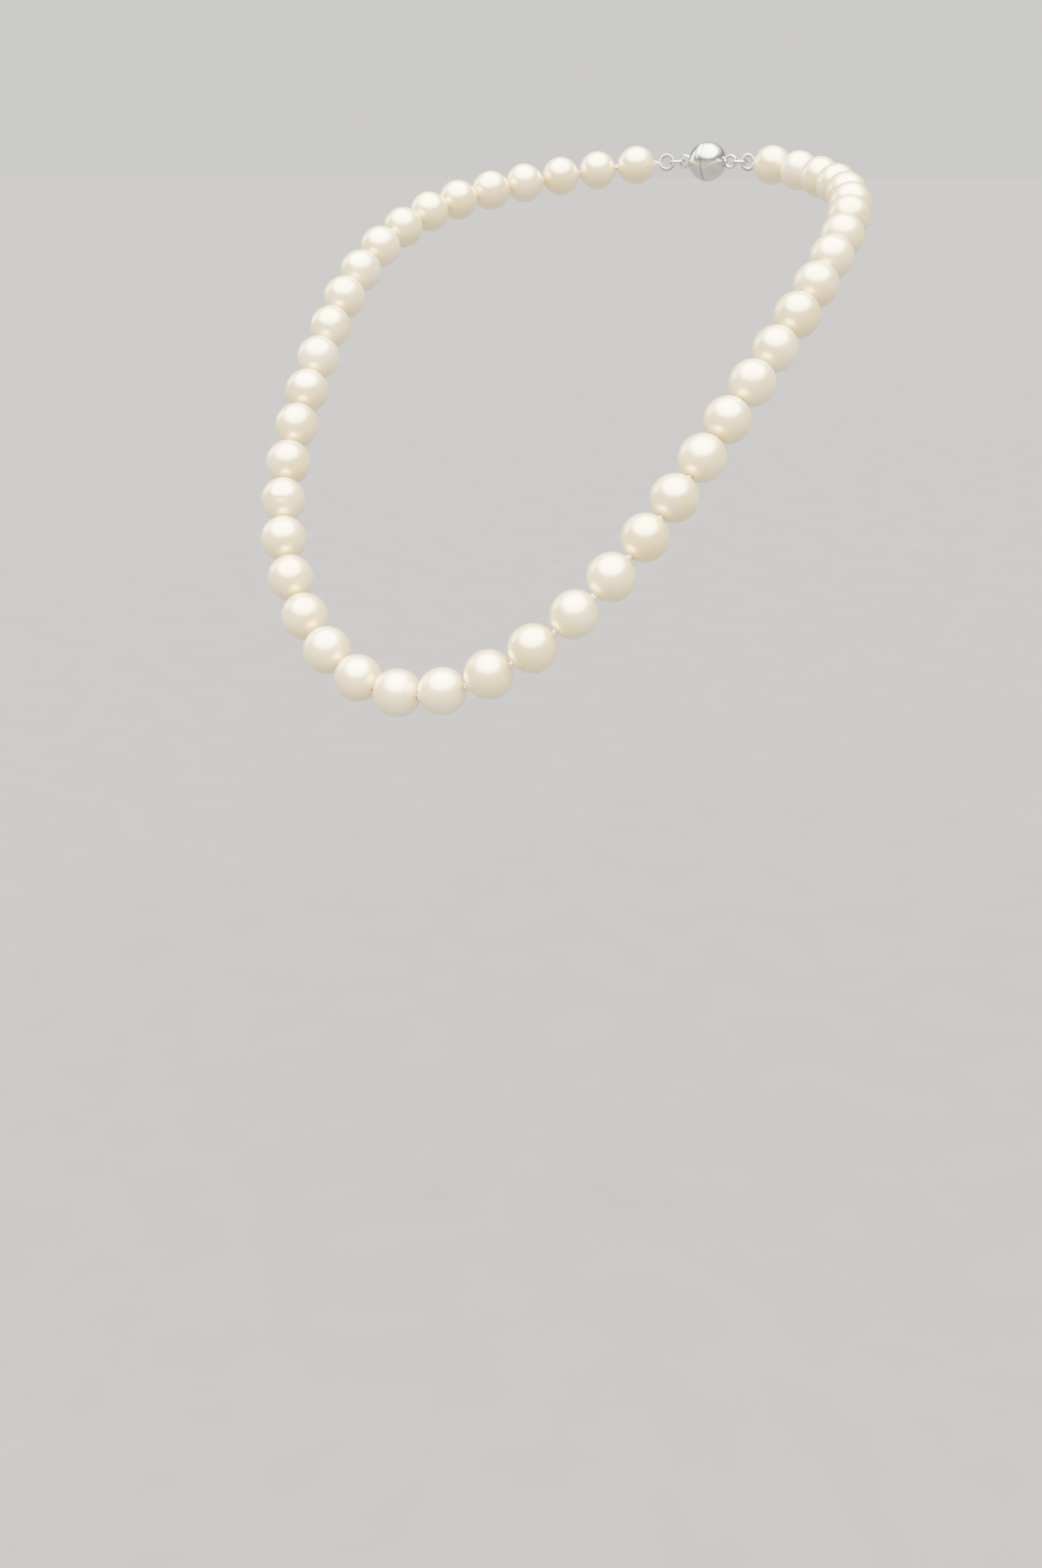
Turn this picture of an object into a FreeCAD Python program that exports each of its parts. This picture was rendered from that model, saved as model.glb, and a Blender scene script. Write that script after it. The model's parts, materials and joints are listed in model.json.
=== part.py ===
"""Knotted pearl necklace with a magnetic ball clasp, lying as it is worn round a neck.

Millimetres. +Z is up, +Y points from the chest to the nape, and x = 0 is the plane of symmetry.
The origin is the point of the chest on which the front pearl rests. The +X side is called right.
"""
import FreeCAD, Part
import math
import os

from FreeCAD import Vector

# Strand
PEARLS_PER_SIDE = 22
FRONT_PEARL_D = 9.35
BACK_PEARL_D = 8.85
KNOT_GAP = 0.45            # left by the knot between two pearls, measured along the thread
SORTING = (0.0, -0.10, 0.06, 0.08, -0.04)         # repeated differences in diameter after matching
OVALNESS = (0.0, 0.012, -0.010, 0.006, 0.016, -0.006, 0.002)
PEAR_SHAPE = (0.0, 0.006, -0.005, 0.008)
CIRCLED_PEARL = ("left", 6)                       # it has a shallow groove round it
GROOVE_DEPTH = 0.10
GROOVE_LATITUDE = 2.15
GROOVE_HALF_WIDTH = 0.12
BORE_D = 1.0
MOUTH_D = 1.6              # the drilled hole is countersunk at 45 degrees
SILK_D = 0.7
KNOT_D = 1.25
PROFILE_STEPS = 18
CIRCLED_STEPS = 40

# Drape of the right-hand half: poles of a spline from the front pearl up the chest to the side of the neck
CHEST_NORMAL = Vector(0, -0.83, 0.55)
DRAPE = (
    Vector(0, 0, 0),
    Vector(15.5, 0, 0),
    Vector(39.0, 12.5, 20.0),
    Vector(47.5, 40.0, 46.0),
    Vector(55.0, 72.0, 70.5),
    Vector(52.5, 100.0, 83.0),
)
BEHIND_NECK = Vector(39.0, -13.5, 87.5)           # its Y is counted from the nape
NAPE_X = 15.5
NAPE_RISE = 91.0
NAPE_DEPTH_LIMITS = (125.0, 165.0)
DRAPE_DEGREE = 3

# Clasp and end links
BALL_D = 9.0
BALL_HOLLOW_D = 6.0
FACE_GAP = 0.10            # between the two closed halves
MAGNET_D = 5.6
MAGNET_T = 2.0
BEZEL_D = 7.4
BEZEL_T = 0.9
FIT = 0.02                 # radial clearance of the magnet and its bezel
EYE_R = 1.3
RING_R = 1.8
WIRE_R = 0.4               # clasp eyes and jump rings
BULLION_R = 1.6
BULLION_WIRE_R = 0.5
BULLION_HOLE_R = 0.3
LOOP_SILK_R = 0.25
STEM_R = 0.2
STEM_HOLE_R = 0.4
LINK_SLACK = 0.06
END_KNOT_SLACK = 0.05

ACROSS = Vector(1, 0, 0)
UP = Vector(0, 0, 1)
SIDES = {"right": 1, "left": -1}
BISECTIONS = 45

# Distances along the strand. Two links pull on each other at a point midway across their slack.
EYE_CENTRE = FACE_GAP / 2 + BALL_D / 2 + EYE_R
EYE_PULL = EYE_CENTRE + EYE_R - WIRE_R - LINK_SLACK / 2
RING_REACH = 2 * (RING_R - WIRE_R) - LINK_SLACK
LOOP_CENTRE_REACH = BULLION_R - BULLION_WIRE_R - LINK_SLACK / 2
LOOP_REACH = LOOP_CENTRE_REACH + BULLION_R + BULLION_WIRE_R + KNOT_D / 2 + END_KNOT_SLACK


def pearl_diameter(number):
    """Pearl 0 is the front one. The strand is slightly graduated towards the clasp."""
    graduation = (BACK_PEARL_D - FRONT_PEARL_D) * number / PEARLS_PER_SIDE
    return FRONT_PEARL_D + graduation + SORTING[number % len(SORTING)]


def pearl_radius(number, latitude):
    """From the pearl's centre to its skin. Latitude is 0 at the outer mouth and pi at the inner one."""
    oval = OVALNESS[number % len(OVALNESS)] * math.cos(2 * latitude)
    pear = PEAR_SHAPE[number % len(PEAR_SHAPE)] * math.cos(3 * latitude)
    return pearl_diameter(number) / 2 * (1 + oval + pear)


def groove(latitude):
    offset = (latitude - GROOVE_LATITUDE) / GROOVE_HALF_WIDTH
    return GROOVE_DEPTH * math.exp(-offset * offset)


def link_length(number):
    """Length of silk from knot to knot through one pearl."""
    return pearl_radius(number, 0) + pearl_radius(number, math.pi) + KNOT_GAP


def step_along(curve, start, here, length):
    """Parameter of the point further along the curve that is one chord length away from here."""
    low, high = start, curve.LastParameter
    for _ in range(BISECTIONS):
        middle = (low + high) / 2
        if curve.value(middle).distanceToPoint(here) < length:
            low = middle
        else:
            high = middle
    return (low + high) / 2


def drape_curve(nape_depth):
    """Guide of the right-hand half, which reaches the clasp's eye square to the plane of symmetry."""
    poles = [
        *DRAPE,
        BEHIND_NECK + Vector(0, nape_depth, 0),
        Vector(NAPE_X, nape_depth, NAPE_RISE),
        Vector(EYE_PULL, nape_depth, NAPE_RISE),
    ]
    spans = len(poles) - DRAPE_DEGREE
    curve = Part.BSplineCurve()
    curve.buildFromPolesMultsKnots(
        poles,
        [DRAPE_DEGREE + 1] + [1] * (spans - 1) + [DRAPE_DEGREE + 1],
        [step / spans for step in range(spans + 1)],
        False,
        DRAPE_DEGREE,
    )
    return curve


def lay_strand(nape_depth):
    """Knots of the right-hand half, the ring's pull on the loop, and the eye's pull on the ring."""
    curve = drape_curve(nape_depth)
    points = [ACROSS * (link_length(0) / 2)]
    place = curve.FirstParameter
    lengths = [link_length(i) for i in range(1, PEARLS_PER_SIDE + 1)] + [LOOP_REACH]
    for length in lengths:
        place = step_along(curve, place, points[-1], length)
        points.append(curve.value(place))
    return points, curve.value(curve.LastParameter)


def close_strand():
    """Find the depth of the nape at which the jump ring just reaches the clasp, so that the strand closes."""
    low, high = NAPE_DEPTH_LIMITS
    for _ in range(BISECTIONS):
        middle = (low + high) / 2
        points, eye_pull = lay_strand(middle)
        if points[-1].distanceToPoint(eye_pull) < RING_REACH:
            low = middle
        else:
            high = middle
    lift = CHEST_NORMAL * (pearl_diameter(0) / 2)
    return [point + lift for point in points], eye_pull + lift


def mirrored(point, side):
    return Vector(point.x * SIDES[side], point.y, point.z)


def turned(shape, start, end, up=UP):
    """Move a shape built along +X from the origin so that it runs from start towards end, its Z kept near up."""
    along = (end - start).normalize()
    level = up.cross(along).normalize()
    high = along.cross(level)
    matrix = FreeCAD.Matrix(
        along.x, level.x, high.x, start.x,
        along.y, level.y, high.y, start.y,
        along.z, level.z, high.z, start.z,
        0, 0, 0, 1,
    )
    return shape.transformed(matrix)


def revolved(edges):
    """Solid made by turning a closed outline in the XY plane about the X axis."""
    face = Part.Face(Part.Wire(Part.__sortEdges__(edges)))
    return face.revolve(Vector(), ACROSS, 360)


def outline(points):
    closed = points + points[:1]
    return [Part.makeLine(a, b) for a, b in zip(closed, closed[1:])]


def ring(radius, wire_radius, centre, normal):
    return Part.makeTorus(radius, wire_radius, centre, normal)


def mouth_latitude(number, end):
    """Latitude at which the skin meets the rim of the countersunk mouth at one end of the hole."""
    low, high = 0.0, 0.5
    for _ in range(BISECTIONS):
        middle = (low + high) / 2
        latitude = middle if end == 0 else math.pi - middle
        if pearl_radius(number, latitude) * math.sin(middle) < MOUTH_D / 2:
            low = middle
        else:
            high = middle
    return low if end == 0 else math.pi - low


def pearl(number, circled=False):
    """Drilled pearl with its hole along X, built from the inner knot at the origin to the outer one."""
    first, last = mouth_latitude(number, math.pi), mouth_latitude(number, 0)
    steps = CIRCLED_STEPS if circled else PROFILE_STEPS
    skin = []
    for step in range(steps + 1):
        latitude = first + (last - first) * step / steps
        radius = pearl_radius(number, latitude) - (groove(latitude) if circled else 0)
        skin.append(Vector(radius * math.cos(latitude), radius * math.sin(latitude), 0))
    curve = Part.BSplineCurve()
    curve.interpolate(skin)
    sink = (MOUTH_D - BORE_D) / 2
    inner, outer = skin[0], skin[-1]
    corners = [
        outer,
        Vector(outer.x - sink, BORE_D / 2, 0),
        Vector(inner.x + sink, BORE_D / 2, 0),
        inner,
    ]
    edges = [Part.makeLine(a, b) for a, b in zip(corners, corners[1:])]
    solid = revolved([curve.toShape(), *edges])
    centre = KNOT_GAP / 2 + pearl_radius(number, math.pi)
    return solid.translated(Vector(centre, 0, 0))


def knot(before, here, after):
    """Knot as a small ball, its poles square to the thread on both sides."""
    along, onward = (here - before).normalize(), (after - here).normalize()
    pole = along.cross(onward).normalize()
    outward = (along - onward).normalize()
    ball = Part.makeSphere(KNOT_D / 2)
    ball.Placement = FreeCAD.Placement(here, FreeCAD.Rotation(outward, Vector(), pole, "ZXY"))
    return ball


def silk_side(points, side):
    """Thread from the front knot to the end knot of one side, and on round inside the bullion loop."""
    route = [mirrored(p, side) for p in points]
    before = mirrored(points[0], "left" if side == "right" else "right")
    solids = []
    for here, after in zip(route, route[1:]):
        solids.append(knot(before, here, after))
        solids.append(Part.makeCylinder(SILK_D / 2, here.distanceToPoint(after), here, after - here))
        before = here
    solids.pop()
    end, pull = route[-2], route[-1]
    reach = LOOP_REACH - LOOP_CENTRE_REACH
    stem = Part.makeCylinder(STEM_R, reach - BULLION_R, Vector(), ACROSS)
    loop = ring(BULLION_R, LOOP_SILK_R, Vector(reach, 0, 0), Vector(0, 1, 0))
    return solids + [turned(stem, end, pull), turned(loop, end, pull)]


def silk_thread(points):
    """One continuous thread, with its knots, through every pearl."""
    front = mirrored(points[0], "left")
    solids = [Part.makeCylinder(SILK_D / 2, 2 * points[0].x, front, ACROSS)]
    solids += silk_side(points, "right") + silk_side(points, "left")
    return solids[0].fuse(solids[1:]).Solids[0]


def bullion_loop(points, side):
    """Tube of coiled wire bent into a loop round the jump ring, open where the silk enters it."""
    end, pull = mirrored(points[-2], side), mirrored(points[-1], side)
    reach = LOOP_REACH - LOOP_CENTRE_REACH
    centre = Vector(reach, 0, 0)
    sideways = Vector(0, 1, 0)
    tube = ring(BULLION_R, BULLION_WIRE_R, centre, sideways).cut(
        ring(BULLION_R, BULLION_HOLE_R, centre, sideways)
    )
    entry = Part.makeCylinder(STEM_HOLE_R, reach - BULLION_R, Vector(), ACROSS)
    return turned(tube.cut(entry).Solids[0], end, pull)


def jump_ring(points, eye_pull, side):
    start, end = mirrored(points[-1], side), mirrored(eye_pull, side)
    return turned(ring(RING_R, WIRE_R, Vector(RING_REACH / 2, 0, 0), UP), start, end)


def clasp_eye(eye_pull, side):
    """Wire eye soldered to the top of the dome, which is cut to sit on it."""
    nape = Vector(0, eye_pull.y, eye_pull.z)
    eye = ring(EYE_R, WIRE_R, nape + ACROSS * EYE_CENTRE * SIDES[side], Vector(0, 1, 0))
    dome = Part.makeSphere(BALL_D / 2, nape + ACROSS * (FACE_GAP / 2) * SIDES[side])
    return eye.cut(dome).Solids[0]


def clasp_part(edges, eye_pull, side):
    """Turn an outline about the clasp's axis; X is the distance from the mating face."""
    face = Vector(FACE_GAP / 2 * SIDES[side], eye_pull.y, eye_pull.z)
    return turned(revolved(edges), face, face + ACROSS * SIDES[side])


def arc(radius, start_x, end_x):
    """Arc about the origin from one distance along the axis to another."""
    def at(x):
        return Vector(x, math.sqrt(max(radius * radius - x * x, 0.0)), 0)
    return Part.Arc(at(start_x), at((start_x + end_x) / 2), at(end_x)).toShape()


def clasp_shell(eye_pull, side):
    """Half-ball, stepped inside for the bezel and the magnet, with a domed hollow behind them."""
    outer, hollow = BALL_D / 2, BALL_HOLLOW_D / 2
    bezel, magnet = BEZEL_D / 2 + FIT, MAGNET_D / 2 + FIT
    hollow_rim = math.sqrt(hollow ** 2 - MAGNET_T ** 2)
    corners = [
        Vector(0, outer, 0),
        Vector(0, bezel, 0),
        Vector(BEZEL_T, bezel, 0),
        Vector(BEZEL_T, magnet, 0),
        Vector(MAGNET_T, magnet, 0),
        Vector(MAGNET_T, hollow_rim, 0),
    ]
    edges = [Part.makeLine(a, b) for a, b in zip(corners, corners[1:])]
    edges += [
        arc(hollow, MAGNET_T, hollow),
        Part.makeLine(Vector(hollow, 0, 0), Vector(outer, 0, 0)),
        arc(outer, outer, 0),
    ]
    return clasp_part(edges, eye_pull, side)


def clasp_magnet(eye_pull, side):
    radius = MAGNET_D / 2
    corners = [Vector(), Vector(MAGNET_T, 0, 0), Vector(MAGNET_T, radius, 0), Vector(0, radius, 0)]
    return clasp_part(outline(corners), eye_pull, side)


def clasp_bezel(eye_pull, side):
    inner, outer = MAGNET_D / 2 + FIT, BEZEL_D / 2
    corners = [
        Vector(0, inner, 0),
        Vector(BEZEL_T, inner, 0),
        Vector(BEZEL_T, outer, 0),
        Vector(0, outer, 0),
    ]
    return clasp_part(outline(corners), eye_pull, side)


def build():
    """Every node of the necklace, by name."""
    points, eye_pull = close_strand()
    front = mirrored(points[0], "left")
    nodes = {"pearl_front": turned(pearl(0), front, points[0]), "silk_thread": silk_thread(points)}
    for side in SIDES:
        for number in range(1, PEARLS_PER_SIDE + 1):
            inner, outer = mirrored(points[number - 1], side), mirrored(points[number], side)
            circled = (side, number) == CIRCLED_PEARL
            nodes[f"pearl_{side}_{number:02d}"] = turned(pearl(number, circled), inner, outer)
        nodes[f"bullion_loop_{side}"] = bullion_loop(points, side)
        nodes[f"jump_ring_{side}"] = jump_ring(points, eye_pull, side)
        nodes[f"clasp_eye_{side}"] = clasp_eye(eye_pull, side)
        nodes[f"clasp_shell_{side}"] = clasp_shell(eye_pull, side)
        nodes[f"clasp_magnet_{side}"] = clasp_magnet(eye_pull, side)
        nodes[f"clasp_bezel_{side}"] = clasp_bezel(eye_pull, side)
    return nodes


def main():
    os.makedirs("parts", exist_ok=True)
    for name, shape in build().items():
        shape.exportStep(f"parts/{name}.step")


if __name__ == "__main__":
    main()
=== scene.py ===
"""Knotted pearl necklace with a magnetic ball clasp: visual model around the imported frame. Metres."""
import json
import math
import random

import bpy
import numpy as np
from mathutils import Matrix, Vector, noise

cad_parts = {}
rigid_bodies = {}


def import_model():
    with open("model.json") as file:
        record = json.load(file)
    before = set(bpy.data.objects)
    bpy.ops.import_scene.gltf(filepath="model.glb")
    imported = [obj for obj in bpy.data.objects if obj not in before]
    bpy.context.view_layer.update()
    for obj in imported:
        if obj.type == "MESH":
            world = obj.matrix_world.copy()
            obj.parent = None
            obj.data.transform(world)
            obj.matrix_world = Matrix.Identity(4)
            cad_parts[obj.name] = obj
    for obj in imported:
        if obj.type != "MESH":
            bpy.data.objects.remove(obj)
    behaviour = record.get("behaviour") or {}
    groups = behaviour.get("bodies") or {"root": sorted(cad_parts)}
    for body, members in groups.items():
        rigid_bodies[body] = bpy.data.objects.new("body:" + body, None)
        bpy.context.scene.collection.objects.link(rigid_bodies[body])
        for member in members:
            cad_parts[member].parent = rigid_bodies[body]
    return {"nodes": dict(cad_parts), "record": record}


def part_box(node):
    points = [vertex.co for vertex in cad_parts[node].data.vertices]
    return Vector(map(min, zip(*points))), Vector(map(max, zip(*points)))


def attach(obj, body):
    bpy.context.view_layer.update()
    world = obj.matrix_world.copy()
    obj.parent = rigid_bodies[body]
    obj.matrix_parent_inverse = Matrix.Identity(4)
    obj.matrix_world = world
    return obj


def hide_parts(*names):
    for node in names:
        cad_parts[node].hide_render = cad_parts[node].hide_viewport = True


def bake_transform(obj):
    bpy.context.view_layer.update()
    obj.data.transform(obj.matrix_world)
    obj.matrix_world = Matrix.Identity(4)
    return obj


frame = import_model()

MM = 0.001
TAU = 2 * math.pi
SIDES = ("right", "left")
POLE_R = 1e-6                # of the smallest ring on a lathe's axis
UP = Vector((0, 0, 1))
RIGHT = Vector((1, 0, 0))

# Pearls
PEARL_SEGMENTS = 80
PEARL_RINGS = 72
PROFILE_GROUPS = 48           # measured latitudes of one pearl
MOUTH_R = 0.80 * MM
MOUTH_SINK = 0.30 * MM
MOUTH_EDGE = (0.04 * MM, 0.06 * MM)    # the mouth's rounded rim: depth, and loss of radius
BORE_R = 0.50 * MM
BORE_TAPER = 0.98            # share of the bore's radius deep inside the pearl
MOUTH_CROWDING = 0.35        # rings of the skin lie closer together near the mouths
OUT_OF_ROUND = 0.0042        # share of the radius
OUT_OF_ROUND_WAVES = 0.62    # noise cycles over one radius
RIPPLE = 0.0009
RIPPLE_WAVES = 2.3
PIT_R = (0.25 * MM, 0.55 * MM)
PIT_DEPTH = (0.012 * MM, 0.035 * MM)

# Silk
SILK_R = 0.29 * MM
SILK_PLIES = 3
SILK_PLY_DEPTH = 0.13        # share of the radius
SILK_LAY = 1.5 * MM          # one full twist
KNOT_TUBE_R = 0.19 * MM
KNOT_REACH = 0.66 * MM       # from the thread's axis to the outside of the knot
KNOT_STEPS = 84
KNOT_PLY_STEPS = 7           # in this many steps the plies wind two thirds of a turn
SILK_KNOT_PLY_DEPTH = 0.07   # share of the knot tube's radius
KNOT_LENGTHENING = 1.35      # along the thread
SILK_STEP = 0.05 * MM        # between rings of the thread where it shows
SHOWN_SILK = 1.5 * MM        # on each side of a knot
SHOWN_END_SILK = 1.2 * MM
END_KNOT_TO_LOOP = 2.775 * MM
STEM_STEPS = 24
LOOP_SILK_R = 0.24 * MM
LOOP_STEPS = 72

# Bullion, rings and clasp
BULLION_R = 1.6 * MM
BULLION_COIL_R = 0.375 * MM
BULLION_WIRE_R = 0.115 * MM
BULLION_PITCH = 0.245 * MM
BULLION_OPENING = 0.27       # radians from the silk's entry to the first turn
BULLION_STEPS = 14           # per turn of the coil
RING_R = 1.8 * MM
RING_STEPS = 120
SEAM_STEPS = 1.6             # half-width of the soldered joint, in steps of the ring
SEAM_BEAD = 0.045            # shares of the wire's radius
SEAM_FILING = 0.03
WIRE_WEAR = 0.015
FILED_REACH = 2.6            # half-width of the filed stretch, in half-widths of the joint
EYE_R = 1.3 * MM
EYE_STEPS = 96
FILLET_START = 0.86          # cosine of the angle from the dome at which the eye starts to thicken
FILLET_GROWTH = 0.55         # of the wire's radius
WIRE_R = 0.4 * MM
BALL_R = 4.5 * MM
HALF_GAP = 0.05 * MM
BEZEL_R = 3.7 * MM
BEZEL_T = 0.9 * MM
MAGNET_R = 2.8 * MM
MAGNET_T = 2.0 * MM
FIT = 0.02 * MM
HOLLOW_R = 3.0 * MM
LIP = 0.12 * MM              # rounding of the dome's edge
LINE_AT = (0.75 * MM, 1.05 * MM)       # two turned lines round each dome, from its face
LINE_DEPTH = 0.05 * MM
LINE_HALF_WIDTH = 0.045 * MM
LINED_REACH = 1.5 * MM       # the outline is fine up to here
CHAMFER = 0.06 * MM
MAGNET_BEVEL = 0.12 * MM
BEZEL_EDGE = 0.08 * MM

# Stage
FLOOR_Z = -0.118
FLOOR_HALF = 6.0
SKY = (                      # height of the direction, glow
    (0.0, (0.515, 0.502, 0.482)),
    (0.07, (0.515, 0.502, 0.482)),
    (0.24, (0.22, 0.21, 0.20)),
    (0.48, (0.28, 0.28, 0.28)),
    (0.78, (1.70, 1.70, 1.72)),
    (1.0, (2.70, 2.70, 2.74)),
)
SKY_STRENGTH = 2.4
KEY_ANGLE = math.radians(96)
KEY_ENERGY = 23.0
KEY_COLOUR = (1.0, 0.995, 0.985)
KEY_DIRECTION = Vector((-0.13, 0.28, -0.93))
SIDE_LIGHT = (-1.70, 0.10, 0.75)
SIDE_TARGET = (0, 0.06, 0.05)
SIDE_SIZE = 0.8
SIDE_WATTS = 14.0
SIDE_COLOUR = (1.0, 0.99, 0.97)

CAMERA_PLACE = (0.1731, -0.2689, 0.1045)
CAMERA_TURN = math.radians(28.95)      # to the left of straight at the wearer
CAMERA_DOWN = math.radians(20.95)
CAMERA_ROLL = math.radians(-0.9)
LENS = 26.72
SENSOR_HEIGHT = 24.0


# ---------------------------------------------------------------- geometry helpers

def joint_pos(name):
    return next(Vector(j["pos_m"]) for j in frame["record"]["behaviour"]["joints"] if j["name"] == name)


def box_centre(node):
    low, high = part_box(node)
    return (low + high) / 2


def axes_along(direction, up=UP):
    """Unit vectors along, sideways and up for something that points along a direction."""
    along = direction.normalized()
    side = up.cross(along).normalized()
    return along, side, along.cross(side)


def mesh_object(name, vertices, faces):
    mesh = bpy.data.meshes.new(name)
    mesh.from_pydata([tuple(v) for v in vertices], [], faces)
    mesh.validate()
    mesh.polygons.foreach_set("use_smooth", [True] * len(mesh.polygons))
    mesh.update()
    obj = bpy.data.objects.new(name, mesh)
    bpy.context.scene.collection.objects.link(obj)
    return obj


def skin(rings, closed=False, caps=False, first=0):
    """Quads between rings that all have the same number of points."""
    count = len(rings[0])
    faces = []
    for i in range(len(rings) if closed else len(rings) - 1):
        a, b = first + i * count, first + (i + 1) % len(rings) * count
        for j in range(count):
            k = (j + 1) % count
            faces.append((a + j, a + k, b + k, b + j))
    if caps:
        last = first + (len(rings) - 1) * count
        faces.append(tuple(first + j for j in reversed(range(count))))
        faces.append(tuple(last + j for j in range(count)))
    return [p for r in rings for p in r], faces


def join_parts(name, parts):
    """One object from several (rings, closed) skins."""
    vertices, faces = [], []
    for rings, closed in parts:
        more, quads = skin(rings, closed=closed, caps=not closed, first=len(vertices))
        vertices += more
        faces += quads
    return mesh_object(name, vertices, faces)


def circle(centre, u, v, radius_at, segments):
    """Points about a centre in the plane of u and v. radius_at takes an angle."""
    angles = [TAU * j / segments for j in range(segments)]
    return [centre + (u * math.cos(a) + v * math.sin(a)) * radius_at(a) for a in angles]


def ring_path(centre, u, v, radius, steps):
    return circle(centre, u, v, lambda angle: radius, steps)


def tube(path, closed, radius_at, segments):
    """Rings along a path, square to it. radius_at takes the point's index and an angle."""
    count = len(path)
    tangents = []
    for i in range(count):
        before = path[i - 1] if closed or i else path[0]
        after = path[(i + 1) % count] if closed or i < count - 1 else path[-1]
        tangents.append((after - before).normalized())
    u = tangents[0].orthogonal().normalized()
    rings, frames = [], []
    for t in tangents:
        u = (u - t * u.dot(t)).normalized()
        frames.append((u.copy(), t.cross(u)))
    twist = 0.0
    if closed:
        u0, v0 = frames[0]
        t = tangents[0]
        end = (frames[-1][0] - t * frames[-1][0].dot(t)).normalized()
        twist = -math.atan2(end.dot(v0), end.dot(u0))
    for i, (point, (u, v)) in enumerate(zip(path, frames)):
        turn = twist * i / count
        a = u * math.cos(turn) + v * math.sin(turn)
        b = v * math.cos(turn) - u * math.sin(turn)
        rings.append(circle(point, a, b, lambda angle, i=i: radius_at(i, angle), segments))
    return rings


def lathe(name, profile, origin, axis, segments, closed=False):
    """Turn (distance along the axis, radius) points about an axis."""
    along, side, high = axes_along(axis)
    rings = [
        circle(origin + along * x, side, high, lambda angle, r=r: max(r, POLE_R), segments)
        for x, r in profile
    ]
    vertices, faces = skin(rings, closed=closed, caps=not closed)
    return mesh_object(name, vertices, faces)


def finish_piece(obj, body, slot, material, *nodes):
    obj.data.materials.append(material)
    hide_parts(*nodes)
    if body:
        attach(obj, body)
    return obj


# ---------------------------------------------------------------- materials

class Nodes:
    """Short-hand for building one node material."""

    def __init__(self, name):
        self.material = bpy.data.materials.new(name)
        self.material.use_nodes = True
        self.tree = self.material.node_tree
        self.tree.nodes.clear()
        self.output = self.add("ShaderNodeOutputMaterial")
        self.shader = self.add("ShaderNodeBsdfPrincipled")
        self.link(self.shader, "BSDF", self.output, "Surface")
        self.where = self.add("ShaderNodeTexCoord")

    def add(self, kind, **settings):
        node = self.tree.nodes.new(kind)
        for key, value in settings.items():
            if key in node.inputs:
                node.inputs[key].default_value = value
            else:
                setattr(node, key, value)
        return node

    def link(self, source, out, target, into):
        self.tree.links.new(source.outputs[out], target.inputs[into])

    def set(self, **values):
        for key, value in values.items():
            self.shader.inputs[key.replace("_", " ")].default_value = value

    def noise(self, scale, detail=3.0, roughness=0.5, distortion=0.0):
        node = self.add(
            "ShaderNodeTexNoise", Scale=scale, Detail=detail, Roughness=roughness, Distortion=distortion,
        )
        self.link(self.where, "Object", node, "Vector")
        return node

    def ramp(self, source, out, stops):
        node = self.add("ShaderNodeValToRGB")
        self.link(source, out, node, "Fac")
        elements = node.color_ramp.elements
        while len(elements) < len(stops):
            elements.new(0.5)
        for element, (place, colour) in zip(elements, stops):
            element.position = place
            element.color = (*colour, 1) if len(colour) == 3 else colour
        return node

    def grade(self, source, out, low, high, from_low=0.3, from_high=0.7):
        node = self.add("ShaderNodeMapRange")
        self.link(source, out, node, "Value")
        limits = {"From Min": from_low, "From Max": from_high, "To Min": low, "To Max": high}
        for key, value in limits.items():
            node.inputs[key].default_value = value
        return node

    def mix(self, factor, a, b, mode="MIX"):
        """Mix two colours; each argument is (node, output) or a plain value."""
        node = self.add("ShaderNodeMix", data_type="RGBA", blend_type=mode)
        for value, key in ((factor, 0), (a, 6), (b, 7)):
            if isinstance(value, tuple) and hasattr(value[0], "outputs"):
                self.tree.links.new(value[0].outputs[value[1]], node.inputs[key])
            else:
                node.inputs[key].default_value = value
        return node

    def bump(self, source, out, strength, distance, below=None):
        node = self.add("ShaderNodeBump", Strength=strength, Distance=distance)
        self.link(source, out, node, "Height")
        if below:
            self.link(below, "Normal", node, "Normal")
        return node

    def normal(self, node):
        self.link(node, "Normal", self.shader, "Normal")


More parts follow.
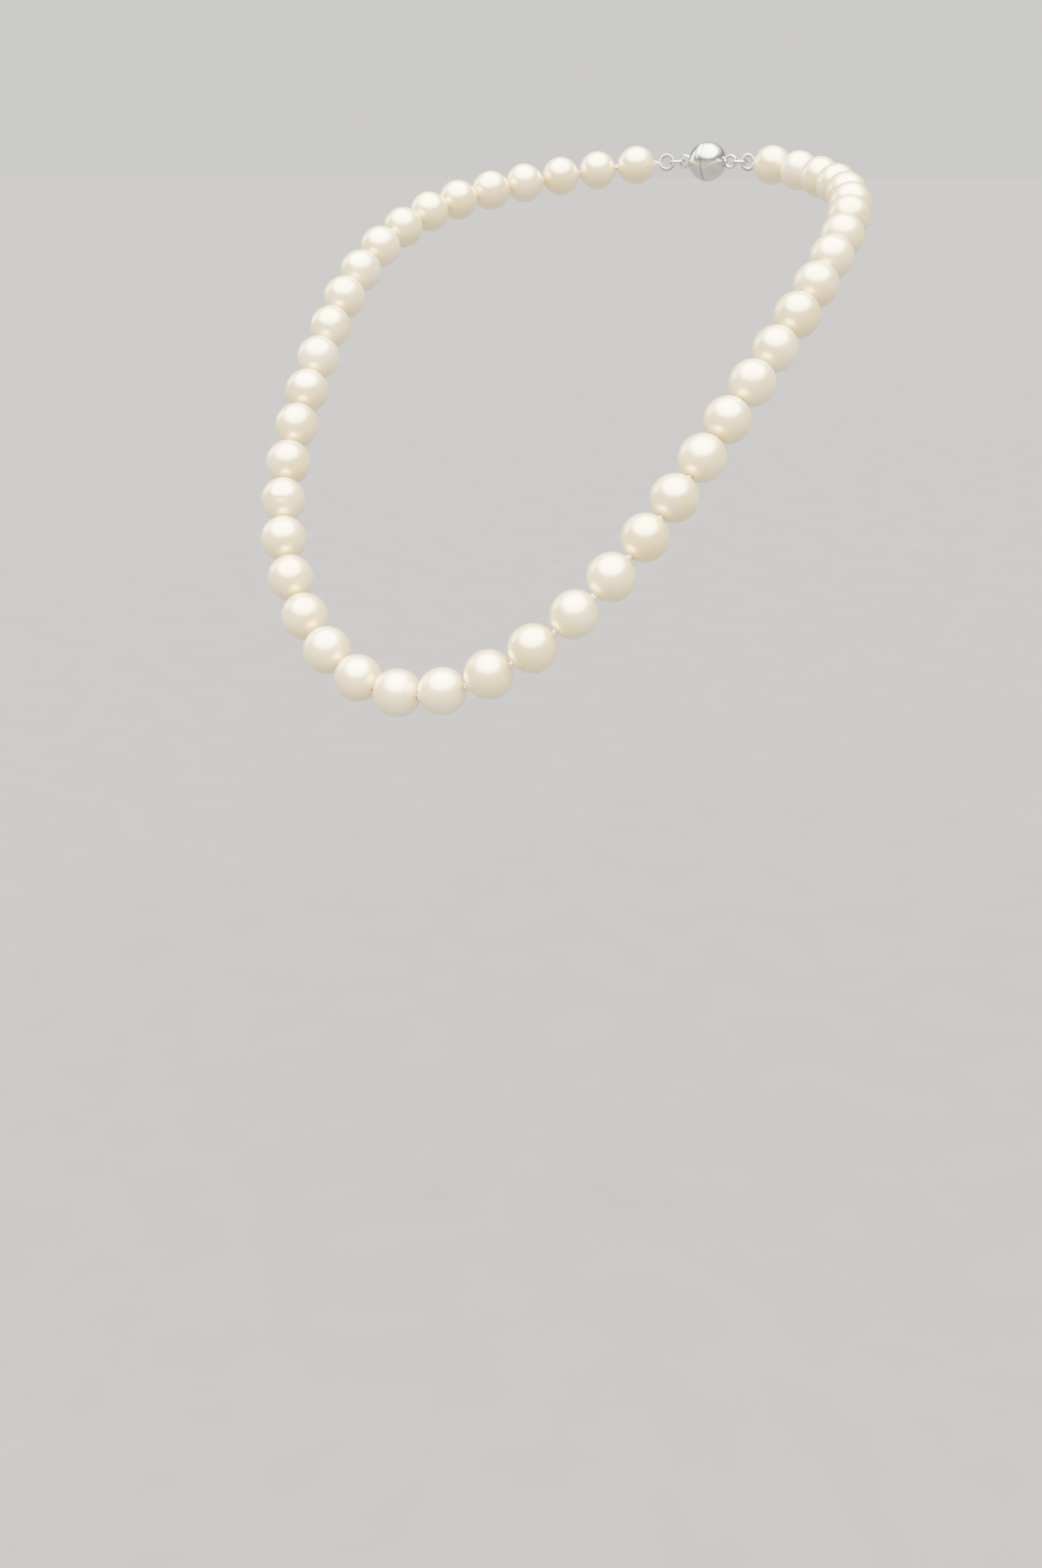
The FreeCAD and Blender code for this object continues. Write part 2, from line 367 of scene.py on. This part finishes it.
def nacre_material():
    """Layered nacre: cream body, patches of pink and green overtone, satin under a glossier coat."""
    n = Nodes("nacre")
    n.set(
        Metallic=0.42, IOR=1.66, Specular_IOR_Level=1.0,
        Subsurface_Weight=0.3, Subsurface_Radius=(1.0, 0.62, 0.36), Subsurface_Scale=0.0010,
        Coat_Weight=1.0, Coat_Roughness=0.27, Coat_IOR=2.2,
        Sheen_Weight=0.03, Sheen_Roughness=0.35, Sheen_Tint=(1.0, 0.86, 0.70, 1),
    )
    own = n.add("ShaderNodeAttribute", attribute_name="overtone")
    tone = n.add("ShaderNodeAttribute", attribute_name="tone")
    patches = n.noise(210, detail=2.0, roughness=0.45, distortion=0.3)
    cloud = n.noise(95, detail=3.0, roughness=0.5)
    body = n.ramp(cloud, "Fac", (
        (0.30, (0.78, 0.61, 0.20)),
        (0.52, (0.84, 0.69, 0.29)),
        (0.72, (0.90, 0.78, 0.42)),
    ))
    over = n.ramp(own, "Fac", (
        (0.0, (0.91, 0.66, 0.44)),
        (0.35, (0.89, 0.72, 0.42)),
        (0.65, (0.83, 0.71, 0.25)),
        (1.0, (0.74, 0.70, 0.29)),
    ))
    amount = n.grade(patches, "Fac", 0.0, 0.42, 0.42, 0.66)
    coloured = n.mix((amount, "Result"), (body, "Color"), (over, "Color"))
    shaded = n.mix((tone, "Fac"), (0.965, 0.93, 0.87, 1), (1, 1, 1, 1))
    base = n.mix(1.0, (coloured, 2), (shaded, 2), "MULTIPLY")
    n.tree.links.new(base.outputs[2], n.shader.inputs["Base Color"])
    rough = n.grade(cloud, "Fac", 0.28, 0.38)
    n.link(rough, "Result", n.shader, "Roughness")
    skin_bump = n.bump(n.noise(1500, detail=2.0), "Fac", 0.10, 0.000012)
    grain = n.bump(n.noise(5200, detail=2.0), "Fac", 0.06, 0.000004, skin_bump)
    n.normal(grain)
    return n.material


def silk_material():
    """Twisted silk: fine fibres along the ply, a little sheen."""
    n = Nodes("silk")
    n.set(Roughness=0.62, IOR=1.5, Sheen_Weight=0.35, Sheen_Roughness=0.4,
          Subsurface_Weight=0.2, Subsurface_Radius=(1.0, 0.8, 0.6), Subsurface_Scale=0.0003)
    fibres = n.noise(9000, detail=3.0, roughness=0.65, distortion=1.2)
    colour = n.ramp(fibres, "Fac", (
        (0.3, (0.82, 0.75, 0.60)),
        (0.55, (0.92, 0.87, 0.75)),
        (0.8, (0.96, 0.93, 0.85)),
    ))
    n.link(colour, "Color", n.shader, "Base Color")
    n.normal(n.bump(fibres, "Fac", 0.5, 0.00002))
    return n.material


def metal_material(name, dark, light, roughness, scratch_scale, scratches=0.08):
    """Polished metal with fine handling scratches and faint tarnish."""
    n = Nodes(name)
    n.set(Metallic=1.0)
    tarnish = n.noise(420, detail=4.0, roughness=0.6)
    colour = n.ramp(tarnish, "Fac", ((0.28, dark), (0.62, light)))
    n.link(colour, "Color", n.shader, "Base Color")
    stretch = n.add("ShaderNodeMapping")
    stretch.inputs["Scale"].default_value = (1.0, 9.0, 0.6)
    stretch.inputs["Rotation"].default_value = (0.5, 0.3, 0.7)
    n.link(n.where, "Object", stretch, "Vector")
    lines = n.add("ShaderNodeTexNoise", Scale=scratch_scale, Detail=3.0, Roughness=0.6)
    n.link(stretch, "Vector", lines, "Vector")
    rough = n.grade(tarnish, "Fac", roughness * 0.8, roughness * 1.5)
    n.link(rough, "Result", n.shader, "Roughness")
    n.normal(n.bump(lines, "Fac", scratches, 0.00001))
    return n.material


# ---------------------------------------------------------------- pearls

def skin_profile(node, centre, axis):
    """Latitudes and mean radii of the CAD pearl's skin, in order from the outer mouth to the inner one."""
    points = np.array([v.co for v in frame["nodes"][node].data.vertices], float) - np.array(centre)
    along = points @ np.array(axis)
    across = np.sqrt(np.maximum((points ** 2).sum(1) - along ** 2, 0))
    outside = across > MOUTH_R * 0.99
    latitude = np.arctan2(across[outside], along[outside])
    radius = np.hypot(across[outside], along[outside])
    order = np.argsort(latitude)
    latitude, radius = latitude[order], radius[order]
    groups = np.array_split(np.arange(len(order)), PROFILE_GROUPS)
    middles = [latitude[group].mean() for group in groups]
    levels = [radius[group].mean() for group in groups]
    return np.array([latitude[0], *middles, latitude[-1]]), np.array([radius[0], *levels, radius[-1]])


def pearl_bumps(rng):
    """Returns a function of a unit direction: this pearl's departure from round, as a share of its radius."""
    shift = Vector((rng.uniform(-50, 50), rng.uniform(-50, 50), rng.uniform(-50, 50)))

    def departure(direction):
        low = noise.noise(direction * OUT_OF_ROUND_WAVES + shift)
        fine = noise.noise(direction * RIPPLE_WAVES + shift * 0.7)
        return OUT_OF_ROUND * low + RIPPLE * fine

    return departure


def pearl_pits(rng, radius):
    """A few shallow growth pits: direction, angular size and depth."""
    pits = []
    for _ in range(rng.choice((0, 0, 1, 1, 2, 3))):
        direction = Vector((rng.gauss(0, 1), rng.gauss(0, 1), rng.gauss(0, 1))).normalized()
        pits.append((direction, rng.uniform(*PIT_R) / radius, rng.uniform(*PIT_DEPTH)))
    return pits


def bore_profile(inner, outer):
    """Distance along the hole and its radius, from the inner mouth to the outer one."""
    edge_in, edge_r = MOUTH_EDGE
    deep = MOUTH_SINK * 1.5
    return (
        (inner + edge_in, MOUTH_R - edge_r),
        (inner + MOUTH_SINK, BORE_R),
        (inner + deep, BORE_R * BORE_TAPER),
        (0, BORE_R * BORE_TAPER),
        (outer - deep, BORE_R * BORE_TAPER),
        (outer - MOUTH_SINK, BORE_R),
        (outer - edge_in, MOUTH_R - edge_r),
    )


def pearl_piece(node, axis, rng, material):
    centre = box_centre(node)
    along, side, high = axes_along(axis)
    latitudes, radii = skin_profile(node, centre, along)
    departure = pearl_bumps(rng)
    pits = pearl_pits(rng, float(radii.mean()))
    first, last = float(latitudes[0]), float(latitudes[-1])
    rings = []
    for i in range(PEARL_RINGS):
        share = i / (PEARL_RINGS - 1)
        latitude = first + (last - first) * (share - MOUTH_CROWDING * math.sin(TAU * share) / TAU)
        base = float(np.interp(latitude, latitudes, radii))
        ring = []
        for j in range(PEARL_SEGMENTS):
            angle = TAU * j / PEARL_SEGMENTS
            direction = along * math.cos(latitude) + (
                side * math.cos(angle) + high * math.sin(angle)
            ) * math.sin(latitude)
            fade = max(0.0, min(1.0, (math.sin(latitude) * base - MOUTH_R) / MOUTH_R))
            radius = base * (1 + departure(direction) * fade)
            for pit, size, depth in pits:
                gap = direction.angle(pit) / size
                radius -= depth * math.exp(-gap * gap) * fade
            ring.append(centre + direction * radius)
        rings.append(ring)
    outer = math.cos(first) * float(radii[0])
    inner = math.cos(last) * float(radii[-1])
    for x, r in bore_profile(inner, outer):
        rings.append(circle(centre + along * x, side, high, lambda angle, r=r: r, PEARL_SEGMENTS))
    vertices, faces = skin(rings[::-1], closed=True)
    obj = mesh_object(node + "_skin", vertices, faces)
    for name, value in (("overtone", rng.random()), ("tone", rng.random())):
        attribute = obj.data.attributes.new(name, "FLOAT", "POINT")
        attribute.data.foreach_set("value", [value] * len(obj.data.vertices))
    return finish_piece(obj, node, "nacre", material, node)


def build_pearls(material):
    rng = random.Random(29)
    pearl_piece("pearl_front", RIGHT, rng, material)
    for side in SIDES:
        for joint in knot_joints(side):
            node = joint["child"]
            pearl_piece(node, box_centre(node) - Vector(joint["pos_m"]), rng, material)


def knot_joints(side):
    return [
        j for j in frame["record"]["behaviour"]["joints"]
        if j["name"].startswith("knot_") and j["name"].endswith(side)
    ]


# ---------------------------------------------------------------- silk

def twisted(path):
    """Rings of a plied thread along a path, so that its plies wind at an even lay."""
    travelled = [0.0]
    for a, b in zip(path, path[1:]):
        travelled.append(travelled[-1] + (b - a).length)

    def radius_at(i, angle):
        turn = TAU * travelled[i] / SILK_LAY
        ply = abs(math.cos(SILK_PLIES * (angle - turn) / 2))
        return SILK_R * (1 - SILK_PLY_DEPTH + SILK_PLY_DEPTH * ply * 2)

    return tube(path, False, radius_at, 18)


def thread_path(start, knot_at, end):
    """From one pearl's middle, through the knot, to the next pearl's middle; dense where it shows."""
    def run(a, b):
        length = (b - a).length
        near = [length - SHOWN_SILK + SILK_STEP * i for i in range(round(SHOWN_SILK / SILK_STEP))]
        return [a.lerp(b, d / length) for d in [0.0, length * 0.4] + near]

    return run(start, knot_at) + [knot_at] + run(end, knot_at)[::-1]


def overhand_knot(centre, along, spin):
    """Tube of a pulled overhand knot, turned about the thread by a spin."""
    _, side, high = axes_along(along, UP if abs(along.z) < 0.9 else RIGHT)
    u = side * math.cos(spin) + high * math.sin(spin)
    v = high * math.cos(spin) - side * math.sin(spin)
    scale = (KNOT_REACH - KNOT_TUBE_R) / 3
    path = []
    for i in range(KNOT_STEPS):
        t = TAU * i / KNOT_STEPS
        x = (math.sin(t) + 2 * math.sin(2 * t)) * scale
        y = (math.cos(t) - 2 * math.cos(2 * t)) * scale
        z = -math.sin(3 * t) * scale * KNOT_LENGTHENING
        path.append(centre + u * x + v * y + along * z)

    def radius_at(i, angle):
        ply = abs(math.cos(SILK_PLIES * angle / 2 + TAU * i / KNOT_PLY_STEPS))
        return KNOT_TUBE_R * (1 - SILK_KNOT_PLY_DEPTH + 2 * SILK_KNOT_PLY_DEPTH * ply)

    return tube(path, True, radius_at, 12)


def silk_knot(joint, rng, material):
    """Silk between the middles of two neighbouring pearls, with the knot between them."""
    at = Vector(joint["pos_m"])
    start, end = box_centre(joint["parent"]), box_centre(joint["child"])
    along = ((at - start).normalized() + (end - at).normalized()).normalized()
    name = "silk_" + joint["name"].replace("_open", "").replace("_lift", "")
    obj = join_parts(name, [
        (twisted(thread_path(start, at, end)), False),
        (overhand_knot(at, along, rng.uniform(0, TAU)), True),
    ])
    finish_piece(obj, None, "silk", material, "silk_thread")
    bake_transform(obj)


def silk_end(side, rng, material):
    """Silk from the last pearl through the end knot and round inside the bullion loop."""
    pearl = f"pearl_{side}_22"
    loop = box_centre(f"bullion_loop_{side}")
    pull = joint_pos(f"ring_turn_{side}")
    along = (pull - loop).normalized()
    knot_at = loop - along * END_KNOT_TO_LOOP
    entry = loop - along * (BULLION_R - 0.1 * MM)
    stem = [knot_at.lerp(entry, i / STEM_STEPS) for i in range(STEM_STEPS + 1)]
    start = box_centre(pearl)
    length = (knot_at - start).length
    shown = [length - SHOWN_END_SILK + SILK_STEP * i for i in range(round(SHOWN_END_SILK / SILK_STEP))]
    run = [start, start.lerp(knot_at, 0.5)] + [start.lerp(knot_at, d / length) for d in shown]
    turn = ring_path(loop, -along, loop_side(along), BULLION_R, LOOP_STEPS)
    obj = join_parts(f"silk_end_{side}", [
        (twisted(run + stem), False),
        (overhand_knot(knot_at, along, rng.uniform(0, TAU)), True),
        (tube(turn, True, lambda i, angle: LOOP_SILK_R, 12), True),
    ])
    finish_piece(obj, pearl, "silk", material, "silk_thread")


def loop_side(along):
    """Direction across a bullion loop, in its plane. The plane holds the strand and stands upright."""
    return axes_along(along)[2]


def build_silk(material):
    rng = random.Random(71)
    for side in SIDES:
        for joint in knot_joints(side):
            silk_knot(joint, rng, material)
        silk_end(side, rng, material)


# ---------------------------------------------------------------- bullion, rings and clasp

def bullion_piece(side, material):
    """Fine wire coiled over the silk and bent into a loop."""
    node = f"bullion_loop_{side}"
    centre = box_centre(node)
    along = (joint_pos(f"ring_turn_{side}") - centre).normalized()
    up = loop_side(along)
    normal = along.cross(up)
    arc = TAU - 2 * BULLION_OPENING
    steps = round(arc * BULLION_R / BULLION_PITCH) * BULLION_STEPS
    path = []
    for i in range(steps + 1):
        around = BULLION_OPENING + arc * i / steps
        coil = TAU * i / BULLION_STEPS
        outward = -along * math.cos(around) + up * math.sin(around)
        core = centre + outward * BULLION_R
        path.append(core + (outward * math.cos(coil) + normal * math.sin(coil)) * BULLION_COIL_R)
    obj = join_parts(node + "_coil", [(tube(path, False, lambda i, angle: BULLION_WIRE_R, 8), False)])
    finish_piece(obj, f"pearl_{side}_22", "bullion_wire", material, node)


def jump_ring_piece(side, material):
    """Closed ring with a slightly proud soldered joint."""
    node = f"jump_ring_{side}"
    pulls = joint_pos(f"ring_turn_{side}"), joint_pos(f"clasp_turn_{side}")
    along, level, _ = axes_along(pulls[1] - pulls[0])
    seam = RING_STEPS // 4

    def radius_at(i, angle):
        from_seam = (i - seam) / SEAM_STEPS
        wear = WIRE_WEAR * (math.sin(3 * TAU * i / RING_STEPS + 2 * angle) - 1)
        bead = SEAM_BEAD * math.exp(-from_seam ** 2)
        filed = SEAM_FILING * math.exp(-(from_seam / FILED_REACH) ** 2)
        return WIRE_R * (1 + wear + bead - filed)

    path = ring_path(box_centre(node), along, level, RING_R, RING_STEPS)
    obj = join_parts(node + "_wire", [(tube(path, True, radius_at, 22), True)])
    finish_piece(obj, node, "clasp_metal", material, node)


def clasp_face(side):
    """Middle of one half's mating face, and the direction from there to its eye."""
    outward = RIGHT * (1 if side == "right" else -1)
    nape = box_centre(f"clasp_shell_{side}")
    return Vector((0, nape.y, nape.z)) + outward * HALF_GAP, outward


def eye_piece(side, material):
    """Wire eye that thickens into a solder fillet where it meets the dome."""
    node = f"clasp_eye_{side}"
    face, outward = clasp_face(side)
    centre = face + outward * (BALL_R + EYE_R)

    def radius_at(i, angle):
        toward_dome = math.cos(TAU * i / EYE_STEPS)
        fillet = max(0.0, (toward_dome - FILLET_START) / (1 - FILLET_START))
        return WIRE_R * (0.99 + FILLET_GROWTH * fillet ** 2)

    path = ring_path(centre, -outward, UP, EYE_R, EYE_STEPS)
    obj = join_parts(node + "_wire", [(tube(path, True, radius_at, 20), True)])
    finish_piece(obj, f"clasp_{side}", "clasp_metal", material, node)


def turned_line(x):
    """Depth of the turned lines at a distance from the mating face."""
    return LINE_DEPTH * sum(math.exp(-((x - at) / LINE_HALF_WIDTH) ** 2) for at in LINE_AT)


def dome_profile():
    """Outline of one half-ball: hollow, steps for magnet and bezel, mating face, outside."""
    bezel, magnet = BEZEL_R + FIT, MAGNET_R + FIT
    hollow = [(BALL_R - 1.5 * MM, 0.0)]
    for i in range(1, 13):
        angle = math.acos(MAGNET_T / HOLLOW_R) * i / 12
        hollow.append((HOLLOW_R * math.cos(angle), HOLLOW_R * math.sin(angle)))
    steps = [
        (MAGNET_T, magnet), (BEZEL_T, magnet), (BEZEL_T, bezel), (CHAMFER, bezel), (0.0, bezel + CHAMFER),
    ]
    rim = [(0.0, BALL_R - LIP)] + [
        (LIP * (1 - math.cos(a)), BALL_R - LIP * (1 - math.sin(a)) - 0.002 * MM) for a in (0.5, 1.0, 1.35)
    ]
    lined = []
    for i in range(60):
        x = LIP + (LINED_REACH - LIP) * i / 59
        lined.append((x, math.sqrt(BALL_R ** 2 - x ** 2) - turned_line(x)))
    crown = []
    for i in range(40):
        x, r = BALL_R * math.sin(math.pi / 2 * i / 39), BALL_R * math.cos(math.pi / 2 * i / 39)
        if x > LINED_REACH + 0.05 * MM:
            crown.append((x, r))
    return hollow + steps + rim + lined + crown


def clasp_half(side, metal, plating):
    face, outward = clasp_face(side)
    body = f"clasp_{side}"
    shell = lathe(f"clasp_shell_{side}_dome", dome_profile(), face, outward, 112)
    finish_piece(shell, body, "clasp_metal", metal, f"clasp_shell_{side}")
    bevel = MAGNET_BEVEL
    magnet = lathe(f"clasp_magnet_{side}_disc", [
        (0.0, 0.0), (0.0, MAGNET_R * 0.5), (0.0, MAGNET_R - bevel), (bevel * 0.3, MAGNET_R - bevel * 0.3),
        (bevel, MAGNET_R), (MAGNET_T - bevel, MAGNET_R), (MAGNET_T, MAGNET_R - bevel), (MAGNET_T, 0.0),
    ], face, outward, 72)
    finish_piece(magnet, body, "magnet_plating", plating, f"clasp_magnet_{side}")
    inner, outer, edge = MAGNET_R + FIT, BEZEL_R, BEZEL_EDGE
    bezel = lathe(f"clasp_bezel_{side}_ring", [
        (edge, inner), (edge * 0.3, inner + edge * 0.3), (0.0, inner + edge), (0.0, outer - edge),
        (edge * 0.3, outer - edge * 0.3), (edge, outer), (BEZEL_T - edge, outer), (BEZEL_T, outer - edge),
        (BEZEL_T, inner + edge), (BEZEL_T - edge, inner),
    ], face, outward, 96, closed=True)
    finish_piece(bezel, body, "clasp_metal", metal, f"clasp_bezel_{side}")


def build_clasp(metal, plating, bullion):
    for side in SIDES:
        bullion_piece(side, bullion)
        jump_ring_piece(side, metal)
        eye_piece(side, metal)
        clasp_half(side, metal, plating)


# ---------------------------------------------------------------- stage, light and camera

def floor_material():
    n = Nodes("studio_floor")
    n.set(Roughness=0.8)
    speck = n.noise(60, detail=4.0)
    colour = n.ramp(speck, "Fac", ((0.35, (0.101, 0.096, 0.089)), (0.65, (0.109, 0.104, 0.096))))
    n.link(colour, "Color", n.shader, "Base Color")
    return n.material


def build_floor():
    half = FLOOR_HALF
    corners = [(x, y, FLOOR_Z) for x, y in ((-half, -half), (half, -half), (half, half), (-half, half))]
    floor = mesh_object("studio_floor", corners, [(0, 1, 2, 3)])
    floor.data.materials.append(floor_material())


def build_world():
    """Pale studio all round, brighter overhead than at the level of the floor."""
    world = bpy.data.worlds.new("studio")
    world.use_nodes = True
    tree = world.node_tree
    background = tree.nodes["Background"]
    where = tree.nodes.new("ShaderNodeTexCoord")
    split = tree.nodes.new("ShaderNodeSeparateXYZ")
    ramp = tree.nodes.new("ShaderNodeValToRGB")
    tree.links.new(where.outputs["Generated"], split.inputs[0])
    tree.links.new(split.outputs["Z"], ramp.inputs["Fac"])
    tree.links.new(ramp.outputs["Color"], background.inputs["Color"])
    elements = ramp.color_ramp.elements
    while len(elements) < len(SKY):
        elements.new(0.5)
    for element, (height, glow) in zip(elements, SKY):
        element.position = height
        element.color = (*glow, 1)
    background.inputs["Strength"].default_value = SKY_STRENGTH
    bpy.context.scene.world = world


def light(name, kind, direction, energy, colour):
    data = bpy.data.lights.new(name, kind)
    data.energy = energy
    data.color = colour
    obj = bpy.data.objects.new(name, data)
    bpy.context.scene.collection.objects.link(obj)
    obj.rotation_euler = direction.to_track_quat("-Z", "Y").to_euler()
    return obj


def build_light():
    """One very large overhead diffuser and a weaker one at the left."""
    key = light("diffuser", "SUN", KEY_DIRECTION, KEY_ENERGY, KEY_COLOUR)
    key.data.angle = KEY_ANGLE
    side = light("side", "AREA", Vector(SIDE_TARGET) - Vector(SIDE_LIGHT), SIDE_WATTS, SIDE_COLOUR)
    side.location = SIDE_LIGHT
    side.data.size = SIDE_SIZE


def build_camera():
    """The photographer's place, looking down and to the left across the front of the necklace."""
    camera = bpy.data.cameras.new("camera")
    camera.sensor_fit = "VERTICAL"
    camera.sensor_height = SENSOR_HEIGHT
    camera.lens = LENS
    camera.clip_start = 0.01
    obj = bpy.data.objects.new("camera", camera)
    bpy.context.scene.collection.objects.link(obj)
    turn = Matrix.Rotation(CAMERA_TURN, 4, "Z")
    tilt = Matrix.Rotation(math.pi / 2 - CAMERA_DOWN, 4, "X")
    roll = Matrix.Rotation(CAMERA_ROLL, 4, "Z")
    obj.matrix_world = Matrix.Translation(CAMERA_PLACE) @ turn @ tilt @ roll
    bpy.context.scene.camera = obj


def build():
    build_pearls(nacre_material())
    build_silk(silk_material())
    metal = metal_material("silver", (0.44, 0.425, 0.40), (0.60, 0.59, 0.57), 0.17, 900)
    bullion = metal_material("bullion", (0.42, 0.40, 0.37), (0.58, 0.56, 0.53), 0.27, 2500)
    plating = metal_material("nickel", (0.34, 0.33, 0.32), (0.44, 0.43, 0.42), 0.14, 700, 0.05)
    build_clasp(metal, plating, bullion)
    build_floor()
    build_world()
    build_light()
    build_camera()


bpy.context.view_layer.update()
build()
